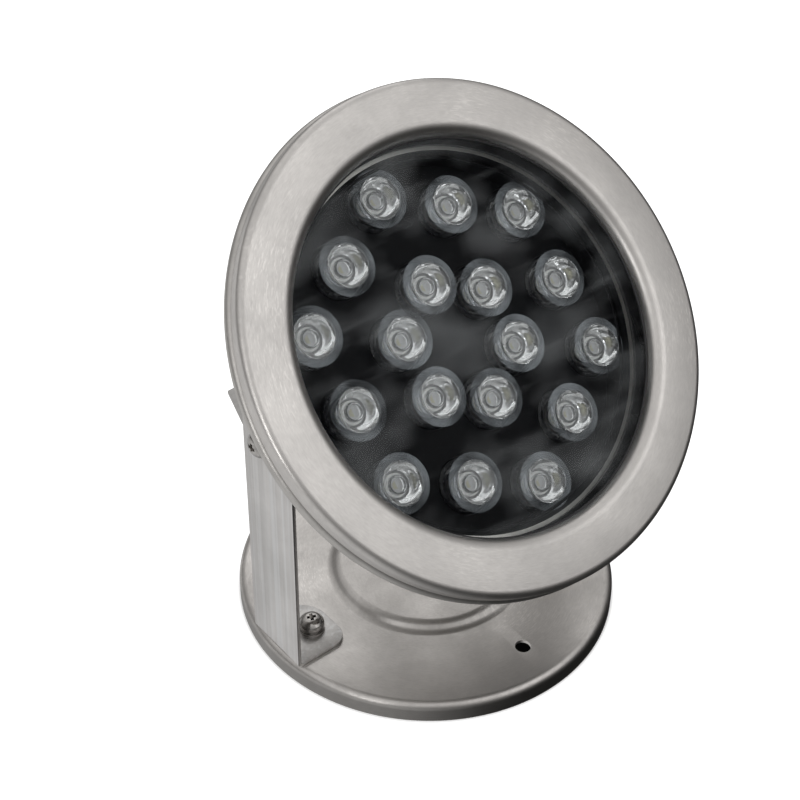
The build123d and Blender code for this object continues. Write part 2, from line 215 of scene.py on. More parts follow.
def noise(tree, vector, scale, detail=3.0, rough=0.6):
    inputs = {"Vector": vector, "Scale": scale, "Detail": detail, "Roughness": rough}
    return node(tree, "ShaderNodeTexNoise", inputs).outputs["Fac"]


def remapped(tree, value, span, outcome, **settings):
    """A value's span turned into another one."""
    inputs = {"Value": value, "From Min": span[0], "From Max": span[1]}
    inputs.update({"To Min": outcome[0], "To Max": outcome[1]})
    return node(tree, "ShaderNodeMapRange", inputs, **settings).outputs["Result"]


def bump(tree, shader, height, strength, distance, over=None):
    """Relief on a shader's surface, on top of an earlier relief where there is one."""
    inputs = {"Strength": strength, "Distance": distance, "Height": height}
    if over:
        inputs["Normal"] = over
    relief = node(tree, "ShaderNodeBump", inputs).outputs["Normal"]
    tree.links.new(relief, shader.inputs["Normal"])
    return relief


def mixed(tree, factor, first, second):
    """One colour laid over another by a factor."""
    made = node(tree, "ShaderNodeMix", data_type="RGBA")
    for socket, value in ((made.inputs[0], factor), (made.inputs[6], first), (made.inputs[7], second)):
        if isinstance(value, bpy.types.NodeSocket):
            tree.links.new(value, socket)
        else:
            socket.default_value = (*value, 1) if isinstance(value, tuple) else value
    return made.outputs[2]


def toned(colour, share):
    """Colour made darker or brighter by a share."""
    return tuple(share * c for c in colour)


def stainless(name, tone, dull, place, grain, grain_depth=0.25, cloud_scale=38.0, rubbed=0.4,
              roughness=(0.30, 0.46)):
    """Brushed stainless sheet: fine strokes along the grain, cloudy handling marks and rubbed patches."""
    material, tree, shader = blank(name)
    where = place(tree)
    along = grain(tree, where)
    strokes = noise(tree, along, 1.0, 5.0, 0.62)
    clouds = noise(tree, where, cloud_scale, 5.0, 0.6)
    marks = noise(tree, where, cloud_scale * 4.5, 3.0, 0.7)
    coarse = vector_math(tree, "SCALE", {0: along, "Scale": 0.7})
    lines = ramp(tree, noise(tree, coarse, 1.0, 2.0, 0.7), [(0.52, 0.0), (0.66, 1.0)])
    worn = ramp(tree, noise(tree, where, cloud_scale * 0.5, 2.0, 0.5), [(0.5, 0.0), (0.62, rubbed)])
    worn_lines = scalar_math(tree, "MULTIPLY", lines, worn)
    patches = ramp(tree, clouds, [(0.34, 0.0), (0.68, 1.0)])
    colour = mixed(tree, patches, dull, tone)
    colour = mixed(tree, ramp(tree, strokes, [(0.28, 0.22), (0.72, 0.0)]), colour, toned(dull, 0.55))
    colour = mixed(tree, ramp(tree, marks, [(0.25, 0.16), (0.5, 0.0)]), colour, toned(dull, 0.7))
    colour = mixed(tree, worn_lines, colour, toned(tone, 1.35))
    tree.links.new(colour, shader.inputs["Base Color"])
    shader.inputs["Metallic"].default_value = 1.0
    blend = scalar_math(tree, "ADD", strokes, clouds)
    tree.links.new(remapped(tree, blend, (0.7, 1.3), roughness[::-1]), shader.inputs["Roughness"])
    height = scalar_math(tree, "MULTIPLY_ADD", worn_lines, -0.5, strokes)
    fine = bump(tree, shader, height, grain_depth, 0.00008)
    bump(tree, shader, clouds, 0.35, 0.00035, over=fine)
    return material


base_steel = stainless(
    "base_steel", tone=(0.65, 0.625, 0.60), dull=(0.51, 0.49, 0.47),
    place=placed, grain=lambda tree, where: spun_grain(tree, where, 26.0, 2600.0),
)
tree = base_steel.node_tree
# Painted shade: below its top rounding, the side wall's colour is darkened towards near-black.
wall_height = node(tree, "ShaderNodeSeparateXYZ", {"Vector": placed(tree)}).outputs["Z"]
painted_wall_shade = remapped(tree, wall_height, (BASE_H - BASE_EDGE_R, BASE_H - 0.001), (0.75, 0.0))
shader = tree.nodes["Principled BSDF"]
deck_colour = shader.inputs["Base Color"].links[0].from_socket
tree.links.new(mixed(tree, painted_wall_shade, deck_colour, (0.17, 0.163, 0.155)), shader.inputs["Base Color"])
under_deck = BASE_H - SHEET
boss_edge = BOSS_R - BOSS_SLOPE
deck = turned(
    [(BASE_R, 0), (BASE_R, BASE_H), (BOSS_R, BASE_H), (boss_edge, BOSS_TOP), (0, BOSS_TOP),
     (0, BOSS_TOP - SHEET), (boss_edge - 0.0005, BOSS_TOP - SHEET), (BOSS_R - 0.0005, under_deck),
     (BASE_R - SHEET, under_deck), (BASE_R - SHEET, 0)],
    [0, BASE_EDGE_R, BOSS_ROUND, BOSS_ROUND, 0,
     0, BOSS_ROUND - SHEET, BOSS_ROUND + SHEET, BASE_EDGE_R - SHEET, 0],
    turns=256, steps=8,
)
base = piece("base", deck, "stand", base_steel)
hole_places = [Vector((0, y, BASE_H)) for y in (-DECK_HOLE_Y, DECK_HOLE_Y)]
screw_places = [Vector((x, FOOT_Y, BASE_H)) for x in (-FOOT_X, FOOT_X)]
cut(base, [rod(DECK_HOLE_R, 0.02, Matrix.Translation(p)) for p in hole_places]
    + [rod(HOLE_R, 0.02, Matrix.Translation(p)) for p in screw_places])
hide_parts("base_plate")


# ---- arms ----
# Two lengths of 27 mm flat strip, sheared, rounded at the ends and bent to an L.
# The rolling lines of the strip run up the upright; screws hold the tab to the deck.

STRIP = 0.0015
BEND_OUTER_R = 0.0022
BEND_INNER_R = 0.0007
SHEARED_EDGE = 0.00018
arm_low, arm_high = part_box("left_arm")
ARM_CORNER_R = 0.0085
TAB_FRONT_R = 0.0065
TAB_BACK_R = 0.0125
hinge = frame["joints"][0]
pivot = Vector(hinge["pos_m"])


def bent_strip(corners, radii, half_width, end_corners):
    """Strip bent to an outline in XZ, its (test, radius) end corners rounded and its sheared edges eased."""
    bm = bmesh.new()
    wire(bm, corners, radii, steps=8)
    edges = list(bm.edges)
    bmesh.ops.contextual_create(bm, geom=edges)
    for vert in bm.verts:
        vert.co.y = -half_width
    pulled = bmesh.ops.extrude_face_region(bm, geom=list(bm.faces))
    moved = [v for v in pulled["geom"] if isinstance(v, bmesh.types.BMVert)]
    bmesh.ops.translate(bm, verts=moved, vec=(0, 2 * half_width, 0))
    bmesh.ops.recalc_face_normals(bm, faces=bm.faces)
    for at_corner, radius in end_corners:
        ends = [e for e in bm.edges if e.calc_length() < 2 * STRIP and all(at_corner(v.co) for v in e.verts)]
        bmesh.ops.bevel(bm, geom=ends, offset=radius, offset_type="OFFSET", segments=12, profile=0.5,
                        affect="EDGES", material=-1)
    rims = [e for e in bm.edges if e.calc_face_angle(0) > math.radians(50)]
    bmesh.ops.bevel(bm, geom=rims, offset=SHEARED_EDGE, offset_type="OFFSET", segments=2, profile=0.5,
                    affect="EDGES", material=-1)
    return bm


def along_z(tree, where):
    """Stretch a noise into lines that run up a strip."""
    return stretched(tree, where, (900.0, 900.0, 14.0))


strip_steel = stainless(
    "strip_steel", tone=(0.72, 0.70, 0.685), dull=(0.58, 0.565, 0.55),
    place=placed, grain=along_z, grain_depth=0.2, cloud_scale=30.0, rubbed=0.1, roughness=(0.32, 0.44),
)


def rolling_bands(material):
    """Soft light and dark bands that run the length of rolled strip."""
    tree = material.node_tree
    shader = tree.nodes["Principled BSDF"]
    where = object_place(tree)
    wide = stretched(tree, where, (260.0, 260.0, 7.0))
    bands = ramp(tree, noise(tree, wide, 1.0, 2.0, 0.5), [(0.4, 0.0), (0.64, 0.28)])
    thin = stretched(tree, where, (620.0, 620.0, 5.0))
    bright = ramp(tree, noise(tree, thin, 1.0, 2.0, 0.4), [(0.52, 0.0), (0.68, 0.32)])
    colour = shader.inputs["Base Color"].links[0].from_socket
    colour = mixed(tree, bands, colour, (0.38, 0.375, 0.37))
    tree.links.new(mixed(tree, bright, colour, (0.80, 0.81, 0.82)), shader.inputs["Base Color"])


rolling_bands(strip_steel)
for side, name in ((-1, "left_arm"), (1, "right_arm")):
    outer = side * -arm_low.x
    inner = outer - side * STRIP
    tip = side * -arm_high.x
    tab_top = BASE_H + STRIP
    corners = [(outer, BASE_H), (tip, BASE_H), (tip, tab_top), (inner, tab_top), (inner, arm_high.z),
               (outer, arm_high.z)]
    bend = bent_strip(corners, [BEND_OUTER_R, 0, 0, BEND_INNER_R, 0, 0], arm_high.y, [
        (lambda co: abs(co.z - arm_high.z) < 1e-6, ARM_CORNER_R),
        (lambda co: abs(co.x - tip) < 1e-6 and abs(co.y + arm_high.y) < 1e-6, TAB_FRONT_R),
        (lambda co: abs(co.x - tip) < 1e-6 and abs(co.y - arm_high.y) < 1e-6, TAB_BACK_R),
    ])
    arm = piece(name + "_strip", bend, "stand", strip_steel, sharp=30)
    across = Matrix.Translation((outer, 0, pivot.z)) @ Matrix.Rotation(math.pi / 2, 4, "Y")
    upright = Matrix.Translation((side * FOOT_X, FOOT_Y, tab_top))
    cut(arm, [rod(HOLE_R, 0.01, across), rod(HOLE_R, 0.01, upright)])
    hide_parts(name)


# ---- screws, washers and nuts ----
# Bright M5 stainless fasteners: pan heads with a cross recess, flat and split washers, hexagon nuts.
# The heads are turned and polished; the recess is punched, and its faces get a near-black painted shade.

HEAD_R = 0.00475
HEAD_H = 0.0036
THREAD_R = 0.0025
RECESS_DEPTH = 0.0018
RECESS_WIDTH = 0.0052
RECESS_SLOT = 0.0015
PIVOT_SCREW_LENGTH = 0.0115


def bright_steel(name, tone, roughness):
    """Polished fastener steel with faint turning marks and a little grime."""
    material, tree, shader = blank(name)
    where = object_place(tree)
    turning = noise(tree, where, 1400.0)
    grime = noise(tree, where, 260.0, 4.0)
    colour = mixed(tree, ramp(tree, grime, [(0.30, 1.0), (0.6, 0.0)]), tone, toned(tone, 0.45))
    tree.links.new(colour, shader.inputs["Base Color"])
    shader.inputs["Metallic"].default_value = 1.0
    rough = remapped(tree, grime, (0.0, 1.0), (roughness + 0.12, roughness - 0.04))
    tree.links.new(rough, shader.inputs["Roughness"])
    bump(tree, shader, turning, 0.15, 0.00004)
    return material


def mottle(tree, shader, texture, dark, light):
    """Let a shader's colour wander between two tones."""
    tree.links.new(ramp(tree, texture, [(0.3, dark), (0.7, light)]), shader.inputs["Base Color"])


screw_steel = bright_steel("screw_steel", (0.52, 0.50, 0.48), 0.16)
washer_steel = bright_steel("washer_steel", (0.42, 0.405, 0.39), 0.3)
# Near-black painted shade for the faces inside the cross recess.
recess_painted_shade, tree, shader = blank("recess_painted_shade")
mottle(tree, shader, noise(tree, object_place(tree), 900.0), (0.006, 0.006, 0.006), (0.02, 0.019, 0.018))
shader.inputs["Roughness"].default_value = 0.6


def cross_recess():
    """Tapered cross that the driver fits: two wedges that cross, narrowing downwards."""
    bm = bmesh.new()
    for turn in (0, math.pi / 2):
        wing = bmesh.ops.create_cube(bm, size=1.0)["verts"]
        for v in wing:
            taper = 1.0 if v.co.z > 0 else 0.35
            slot_taper = 0.6 + 0.4 * taper
            v.co = Vector((v.co.x * RECESS_WIDTH * taper, v.co.y * RECESS_SLOT * slot_taper,
                           v.co.z * 2 * RECESS_DEPTH))
        bmesh.ops.rotate(bm, verts=wing, cent=(0, 0, 0), matrix=Matrix.Rotation(turn, 3, "Z"))
    return bm


def pan_screws(name, node_name, places, length):
    """Pan-head screws at the given places, their heads facing each place's Z."""
    head = turned(
        [(0, -length), (THREAD_R, -length), (THREAD_R, 0), (HEAD_R, 0), (HEAD_R, 0.42 * HEAD_H),
         (0.62 * HEAD_R, HEAD_H), (0, HEAD_H)],
        [0, 0.0004, 0, 0.0002, HEAD_H * 0.48, HEAD_H * 0.75, 0], turns=64, steps=8,
    )
    blank_screw = piece("screw_blank", head, "stand", screw_steel)
    recess = cross_recess()
    bmesh.ops.translate(recess, verts=recess.verts, vec=(0, 0, HEAD_H))
    halves = []
    for part in (0, 1):
        half = recess.copy()
        keep = [v for k, v in enumerate(half.verts) if k // 8 == part]
        bmesh.ops.delete(half, geom=[v for v in half.verts if v not in keep], context="VERTS")
        halves.append(half)
    recess.free()
    cut(blank_screw, halves)
    # Faces sunk in the cross recess take the painted shade in the second slot.
    for face in blank_screw.data.polygons:
        sunk_by = (HEAD_H - face.center.z) / RECESS_DEPTH
        if 0.3 < sunk_by < 1.05 and face.center.xy.length < 0.58 * HEAD_R:
            face.material_index = 1
    several = bmesh.new()
    for place in places:
        one = bmesh.new()
        one.from_mesh(blank_screw.data)
        bmesh.ops.transform(one, matrix=place, verts=one.verts)
        copy = bpy.data.meshes.new("copy")
        one.to_mesh(copy)
        one.free()
        several.from_mesh(copy)
        bpy.data.meshes.remove(copy)
    bpy.data.objects.remove(blank_screw)
    obj = piece(name, several, "stand", screw_steel, sharp=32)
    obj.data.materials.append(recess_painted_shade)
    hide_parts(node_name)


def facing_out(side, distance):
    """Placing matrix at the pivot with its Z pointing away from the lamp."""
    return Matrix.Translation((side * distance, 0, pivot.z)) @ Matrix.Rotation(side * math.pi / 2, 4, "Y")


FLAT_WASHER = 0.001
SPRING_WASHER = 0.0013
foot_seat = BASE_H + STRIP + FLAT_WASHER + SPRING_WASHER
pivot_seat = -arm_low.x + FLAT_WASHER + SPRING_WASHER
foot_places = [Matrix.Translation((side * FOOT_X, FOOT_Y, foot_seat)) @ Matrix.Rotation(0.4 * side, 4, "Z")
               for side in (-1, 1)]
pan_screws("foot_screw_pair", "foot_screws", foot_places, foot_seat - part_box("foot_screws")[0].z)
pivot_places = [facing_out(side, pivot_seat) for side in (-1, 1)]
pan_screws("pivot_screw_pair", "pivot_screws", pivot_places, PIVOT_SCREW_LENGTH)


def finish(material, slot, *names):
    """Give CAD nodes their material."""
    for name in names:
        node_object = frame["nodes"][name]
        node_object.data.materials.clear()
        node_object.data.materials.append(material)
        node_object["finish"] = slot


finish(washer_steel, "fastener", "foot_flat_washers", "foot_spring_washers", "foot_nuts")
finish(washer_steel, "fastener", "pivot_flat_washers", "pivot_spring_washers", "pivot_inner_washers",
       "pivot_locknuts")
finish(washer_steel, "fastener", "bezel_studs", "rim_spring_washers", "rim_nuts")


# ---- bezel ----
# Front ring drawn from 1.2 mm stainless sheet. Its inner lip rolls in over the glass, its outer edge is
# rounded, and a spun satin finish runs round it. Five studs welded inside hold it to the housing.

entry = next(m for m in frame["record"]["mounts"] if m["name"] == "cable_entry")
aim = -Vector(entry["axis"]).normalized()
ENTRY_DEPTH = 0.0586
up_face = aim.cross(Vector((1, 0, 0)))
face_centre = Vector(entry["pos_m"]) + aim * ENTRY_DEPTH
LAMP = Matrix((
    (1, up_face.x, aim.x, face_centre.x),
    (0, up_face.y, aim.y, face_centre.y),
    (0, up_face.z, aim.z, face_centre.z),
    (0, 0, 0, 1),
))
BEZEL_R = 0.089
WINDOW_R = 0.069
LIP_DEPTH = 0.005
LIP_R = 0.0046
EDGE_R = 0.0028
BEZEL_FOOT = 0.00595


def sunk(corners):
    """Turn (radius, depth behind the face) corners into (radius, height) ones."""
    return [(r, -depth) for r, depth in corners]


def lamp_turned(corners, radii, turns=192, steps=6):
    bm = turned(sunk(corners), radii, turns, steps)
    bmesh.ops.transform(bm, matrix=LAMP, verts=bm.verts)
    return bm


def lamp_place(tree):
    return placed(tree, tuple(LAMP.translation), tuple(LAMP.to_euler()))


bezel_steel = stainless(
    "bezel_steel", tone=(0.68, 0.655, 0.63), dull=(0.60, 0.58, 0.56),
    place=lamp_place, grain=lambda tree, where: spun_grain(tree, where, 30.0, 2400.0),
    grain_depth=0.22, cloud_scale=30.0, rubbed=0.4, roughness=(0.30, 0.42),
)
bezel_in, bezel_out = WINDOW_R + SHEET, BEZEL_R - SHEET
ring = lamp_turned(
    [(WINDOW_R, LIP_DEPTH), (WINDOW_R, 0), (BEZEL_R, 0), (BEZEL_R, BEZEL_FOOT),
     (bezel_out, BEZEL_FOOT), (bezel_out, SHEET), (bezel_in, SHEET), (bezel_in, LIP_DEPTH)],
    [0, LIP_R, EDGE_R, 0, 0, EDGE_R - SHEET, LIP_R - SHEET, 0], turns=256, steps=10,
)
bezel = piece("bezel", ring, "head", bezel_steel)
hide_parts("bezel_ring")


# ---- housing ----
# Spun rim with a rolled edge that carries the glass, and a two-step drawn can welded to its back.
# Both are satin stainless, a little duller than the bezel.

RIM_R = 0.09
ROLL_R = 0.0024
FLANGE_BACK = 0.0112
RECESS_R = 0.0768
CUP_R = 0.0682
LEDGE = 0.013
SHOULDER = 0.0316
REAR_CUP_R = 0.057
CUP_ROUND = 0.004
REAR_ROUND = 0.008
INLET_R = 0.0081
HOUSING_DEPTH = 0.05

housing_steel = stainless(
    "housing_steel", tone=(0.60, 0.58, 0.555), dull=(0.48, 0.465, 0.445),
    place=lamp_place, grain=lambda tree, where: spun_grain(tree, where, 24.0, 2200.0),
    grain_depth=0.25, cloud_scale=34.0, roughness=(0.32, 0.46),
)
roll_start = RIM_R - ROLL_R - 0.0005
flange = FLANGE_BACK - SHEET
bead_top = FLANGE_BACK - 2 * ROLL_R
rim_ring = lamp_turned(
    [(roll_start, flange), (RECESS_R - SHEET, flange), (RECESS_R - SHEET, LEDGE), (CUP_R - SHEET, LEDGE),
     (CUP_R - SHEET, LEDGE + SHEET), (RECESS_R, LEDGE + SHEET), (RECESS_R, FLANGE_BACK), (RIM_R, FLANGE_BACK),
     (RIM_R, bead_top), (roll_start - 0.0019, bead_top)],
    [0, 0.0006, 0.0004, 0, 0, 0.0014, 0.0004, ROLL_R, ROLL_R, 0.0018], turns=256, steps=10,
)
chamber_black, tree, shader = blank("chamber_black")
mottle(tree, shader, noise(tree, lamp_place(tree), 900.0), (0.004, 0.004, 0.005), (0.009, 0.009, 0.010))
shader.inputs["Roughness"].default_value = 0.5
shader.inputs["Specular IOR Level"].default_value = 0.15


def paint_inside(obj, radius, depth=HOUSING_DEPTH):
    """Near-black chamber material on the faces within a radius of the lamp's axis and in front of a depth."""
    obj.data.materials.append(chamber_black)
    to_lamp = LAMP.inverted()
    for face in obj.data.polygons:
        spot = to_lamp @ face.center
        if spot.xy.length < radius and spot.z > -depth:
            face.material_index = 1


rim = piece("rolled_rim", rim_ring, "head", housing_steel)
paint_inside(rim, WINDOW_R - 0.0002)
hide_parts("housing_rim")

inner_cup, inner_rear = CUP_R - SHEET, REAR_CUP_R - SHEET
can_body = lamp_turned(
    [(inner_cup, LEDGE + SHEET), (inner_cup, SHOULDER - SHEET), (inner_rear, SHOULDER - SHEET),
     (inner_rear, HOUSING_DEPTH - SHEET), (0, HOUSING_DEPTH - SHEET), (0, HOUSING_DEPTH),
     (REAR_CUP_R, HOUSING_DEPTH), (REAR_CUP_R, SHOULDER), (CUP_R, SHOULDER), (CUP_R, LEDGE + SHEET)],
    [0, CUP_ROUND - SHEET, 0.0012, REAR_ROUND - SHEET, 0, 0, REAR_ROUND, 0.0006, CUP_ROUND, 0],
    turns=192, steps=8,
)
can = piece("drawn_can", can_body, "head", housing_steel)
cut(can, [rod(INLET_R, 0.02, LAMP @ Matrix.Translation((0, 0, -HOUSING_DEPTH)))])
paint_inside(can, CUP_R - 0.9 * SHEET, SHOULDER - 0.5 * SHEET)
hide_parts("housing_cup")


# ---- lugs ----
# Bent plates welded behind the flange, in a darker steel material than the arms.
# The pivot screws pass through them.

lug_steel = stainless(
    "lug_steel", tone=(0.50, 0.485, 0.47), dull=(0.40, 0.39, 0.375),
    place=lamp_place, grain=along_z, grain_depth=0.2, cloud_scale=36.0, rubbed=0.3, roughness=(0.34, 0.48),
)
finish(lug_steel, "strip", "left_lug", "right_lug")


# ---- glazing ----
# A disc of toughened glass between two black silicone gaskets. Its faces carry a faint film
# of dried water and wiping marks.

GLASS_FRONT = 0.0062

glass, tree, shader = blank("window_glass")
where = lamp_place(tree)
drift = stretched(tree, where, (1.0, 1.7, 1.0), turn=0.5)
haze = ramp(tree, noise(tree, drift, 34.0, 2.0, 0.45), [(0.44, 0.0), (0.82, 0.09)])
wipes = stretched(tree, where, (24.0, 190.0, 1.0), turn=0.15)
streaks = ramp(tree, noise(tree, wipes, 1.0), [(0.56, 0.0), (0.85, 0.035)])
film = scalar_math(tree, "ADD", scalar_math(tree, "ADD", haze, streaks), 0.001)
shader.inputs["Base Color"].default_value = (0.75, 0.78, 0.80, 1)
shader.inputs["Roughness"].default_value = 0.35
clear = node(tree, "ShaderNodeBsdfTransparent", {"Color": (0.97, 0.98, 0.98, 1)})
pane = node(tree, "ShaderNodeMixShader", {0: film, 1: clear.outputs[0], 2: shader.outputs[0]})
tree.links.new(pane.outputs[0], tree.nodes["Material Output"].inputs["Surface"])
finish(glass, "glass", "window_glass")

rubber, tree, shader = blank("silicone")
grain = noise(tree, object_place(tree), 900.0)
mottle(tree, shader, grain, (0.010, 0.010, 0.011), (0.022, 0.022, 0.024))
bump(tree, shader, grain, 0.3, 0.00005)
shader.inputs["Roughness"].default_value = 0.55
finish(rubber, "seal", "rear_gasket", "gland_oring", "gland_seal")
gasket_in = WINDOW_R - 0.0006
gasket_out = 0.0752
front_seal = piece("front_seal", lamp_turned(
    [(gasket_in, LIP_DEPTH), (gasket_out, LIP_DEPTH), (gasket_out, GLASS_FRONT), (gasket_in, GLASS_FRONT)],
    [0.0004, 0, 0, 0.0004], turns=192, steps=3), "head", rubber)
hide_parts("front_gasket")


# ---- LED optics ----
# Eighteen white LEDs, each under a clear moulded collimator that stands in a glossy black holder and has a
# thin frosted flange round its rim. A matt black plate hides the board between the holders.

LED_RING_R = 0.0224
LED_HEX_R = 0.0561
LED_TURN = math.radians(-6.3)
LENS_FRONT = 0.0145
LENS_R = 0.0077
BOARD_FRONT = 0.0258
HOLDER_R = 0.010
HOLDER_TOP = 0.0226

led_places = []
between_r = LED_HEX_R * math.cos(math.radians(30))
for k in range(6):
    corner = LED_TURN + math.radians(60 * k)
    between = corner + math.radians(30)
    for radius, turn in ((LED_RING_R, corner), (LED_HEX_R, corner), (between_r, between)):
        led_places.append(Vector((radius * math.sin(turn), radius * math.cos(turn), 0)))


def at_leds(corners, radii, turns=40, steps=4):
    """The same turned part at every LED, sunk to its depth behind the face."""
    several = bmesh.new()
    single = turned(sunk(corners), radii, turns, steps)
    mesh = bpy.data.meshes.new("single")
    single.to_mesh(mesh)
    single.free()
    for place in led_places:
        first = len(several.verts)
        several.from_mesh(mesh)
        several.verts.ensure_lookup_table()
        bmesh.ops.translate(several, verts=several.verts[first:], vec=place)
    bpy.data.meshes.remove(mesh)
    bmesh.ops.transform(several, matrix=LAMP, verts=several.verts)
    return several


clear_plastic, tree, shader = blank("clear_moulding")
bump(tree, shader, noise(tree, object_place(tree), 300.0, 2.0, 0.5), 0.12, 0.0001)
shader.inputs["Base Color"].default_value = (0.975, 0.975, 0.985, 1)
shader.inputs["Transmission Weight"].default_value = 0.96
shader.inputs["IOR"].default_value = 1.49
shader.inputs["Roughness"].default_value = 0.04

LENS_RIM = LENS_FRONT + 0.0012
LENS_WELL = LENS_FRONT + 0.0049
LENS_FOOT = BOARD_FRONT - 0.0022
FLANGE_R = 0.0104
frost, tree, frosted = blank("flange_frost")
cloudy = noise(tree, object_place(tree), 75.0, 2.0, 0.5)
milky = ramp(tree, cloudy, [(0.36, 0.03), (0.68, 0.20)])
frosted.inputs["Base Color"].default_value = (0.60, 0.63, 0.67, 1)
frosted.inputs["Roughness"].default_value = 0.45
see_through = node(tree, "ShaderNodeBsdfTransparent", {"Color": (0.96, 0.97, 0.98, 1)})
veil = node(tree, "ShaderNodeMixShader", {0: milky, 1: see_through.outputs[0], 2: frosted.outputs[0]})
tree.links.new(veil.outputs[0], tree.nodes["Material Output"].inputs["Surface"])
flanges = piece("lens_flanges", at_leds(
    [(LENS_R - 0.0004, LENS_RIM + 0.0001), (FLANGE_R, LENS_RIM + 0.0001), (FLANGE_R, LENS_RIM + 0.0005),
     (LENS_R - 0.0004, LENS_RIM + 0.0005)],
    [0, 0.0002, 0.0002, 0], turns=64, steps=3), "head", frost)

lenses = piece("collimators", at_leds(
    [(0, LENS_FRONT), (LENS_R, LENS_FRONT), (LENS_R, LENS_RIM), (LENS_R - 0.0005, LENS_RIM),
     (LENS_R - 0.0011, LENS_WELL), (0.0049, LENS_FOOT), (0.0034, LENS_FOOT), (0.0031, LENS_WELL),
     (0, LENS_WELL)],
    [0, 0.0004, 0, 0, 0.014, 0, 0, 0.0012, 0], turns=64, steps=5), "head", clear_plastic)
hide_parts("lenses")

DOME_R = 0.0028
dome_base = BOARD_FRONT - 0.0014
domes = piece("led_dome_caps", at_leds(
    [(0, dome_base - 0.004), (DOME_R, dome_base - 0.004), (DOME_R, dome_base), (0, dome_base)],
    [0, 0.00275, 0, 0], turns=32, steps=8), "head", clear_plastic)
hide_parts("led_domes")

black_gloss, tree, shader = blank("holder_black")
ripple = noise(tree, object_place(tree), 420.0, 2.0, 0.5)
mottle(tree, shader, ripple, (0.004, 0.004, 0.005), (0.008, 0.008, 0.010))
bump(tree, shader, ripple, 0.1, 0.0001)
shader.inputs["Roughness"].default_value = 0.12
shader.inputs["Specular IOR Level"].default_value = 0.25
holders = piece("lens_cups", at_leds(
    [(HOLDER_R, BOARD_FRONT), (HOLDER_R, HOLDER_TOP + 0.0007), (0.0092, HOLDER_TOP), (0.0087, HOLDER_TOP),
     (0.0059, 0.0244), (0.0059, BOARD_FRONT)],
    [0, 0.0003, 0.0002, 0.0002, 0.0002, 0], turns=48, steps=3), "head", black_gloss)
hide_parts("lens_holders")

ceramic, tree, shader = blank("led_ceramic")
mottle(tree, shader, noise(tree, object_place(tree), 1500.0), (0.84, 0.83, 0.80), (0.93, 0.925, 0.90))
shader.inputs["Roughness"].default_value = 0.4
finish(ceramic, "white_plastic", "led_packages")

phosphor, tree, shader = blank("led_phosphor")
mottle(tree, shader, noise(tree, object_place(tree), 5000.0, 2.0), (0.70, 0.66, 0.42), (0.82, 0.79, 0.56))
shader.inputs["Roughness"].default_value = 0.6
finish(phosphor, "phosphor", "led_chips")

mask_black, tree, shader = blank("mask_black")
texture = noise(tree, lamp_place(tree), 1600.0)
mottle(tree, shader, texture, (0.003, 0.003, 0.004), (0.007, 0.007, 0.008))
bump(tree, shader, texture, 0.25, 0.00004)
shader.inputs["Roughness"].default_value = 0.45
shader.inputs["Specular IOR Level"].default_value = 0.06
finish(mask_black, "black_plastic", "mask_plate", "driver_chips")


# ---- boards and driver ----
# Black LED board screwed to an aluminium heat spreader, and behind it a green driver board on brass
# posts with coils, capacitors, chips and a terminal block.


def moulded(name, dark, light, roughness, scale=700.0, metallic=0.0):
    """Plain moulded, painted or plated part with a fine mottle in its colour and surface."""
    material, tree, shader = blank(name)
    texture = noise(tree, object_place(tree), scale)
    mottle(tree, shader, texture, dark, light)
    bump(tree, shader, texture, 0.15, 0.00005)
    shader.inputs["Roughness"].default_value = roughness
    shader.inputs["Metallic"].default_value = metallic
    return material


board_black = moulded("board_black", (0.008, 0.008, 0.010), (0.018, 0.018, 0.022), 0.35)
board_green = moulded("board_green", (0.012, 0.09, 0.035), (0.02, 0.14, 0.05), 0.35)
aluminium = moulded("spreader_aluminium", (0.62, 0.62, 0.63), (0.74, 0.74, 0.75), 0.38, metallic=1.0)
brass = moulded("post_brass", (0.55, 0.40, 0.15), (0.68, 0.52, 0.22), 0.28, metallic=1.0)
winding = moulded("coil_winding", (0.30, 0.11, 0.04), (0.45, 0.18, 0.07), 0.35, scale=2600.0)
sleeve = moulded("capacitor_sleeve", (0.02, 0.02, 0.03), (0.05, 0.05, 0.07), 0.3)
terminal_green = moulded("terminal_green", (0.03, 0.22, 0.08), (0.05, 0.30, 0.12), 0.4)
red_wire = moulded("red_wire", (0.45, 0.02, 0.015), (0.60, 0.04, 0.03), 0.4)
black_wire = moulded("black_wire", (0.01, 0.01, 0.01), (0.02, 0.02, 0.02), 0.4)
finish(board_black, "board_black", "led_board")
finish(board_green, "board_green", "driver_board")
finish(aluminium, "aluminium", "heat_spreader")
finish(brass, "brass", "driver_posts")
finish(winding, "ferrite", "driver_coils")
finish(sleeve, "capacitor", "driver_capacitors")
finish(terminal_green, "terminal_green", "terminal_block")
finish(red_wire, "red_wire", "red_lead")
finish(black_wire, "black_wire", "black_lead")
finish(screw_steel, "fastener", "board_screws", "driver_screws")


# ---- cable gland ----
# Nickel-plated brass M16 gland in the middle of the housing's back, its dome nut closing
# a rubber seal round the cable.

gland_metal = moulded("gland_nickel", (0.50, 0.49, 0.46), (0.62, 0.61, 0.58), 0.24, scale=500.0, metallic=1.0)
finish(gland_metal, "gland_metal", "gland_body", "gland_nut", "gland_locknut")
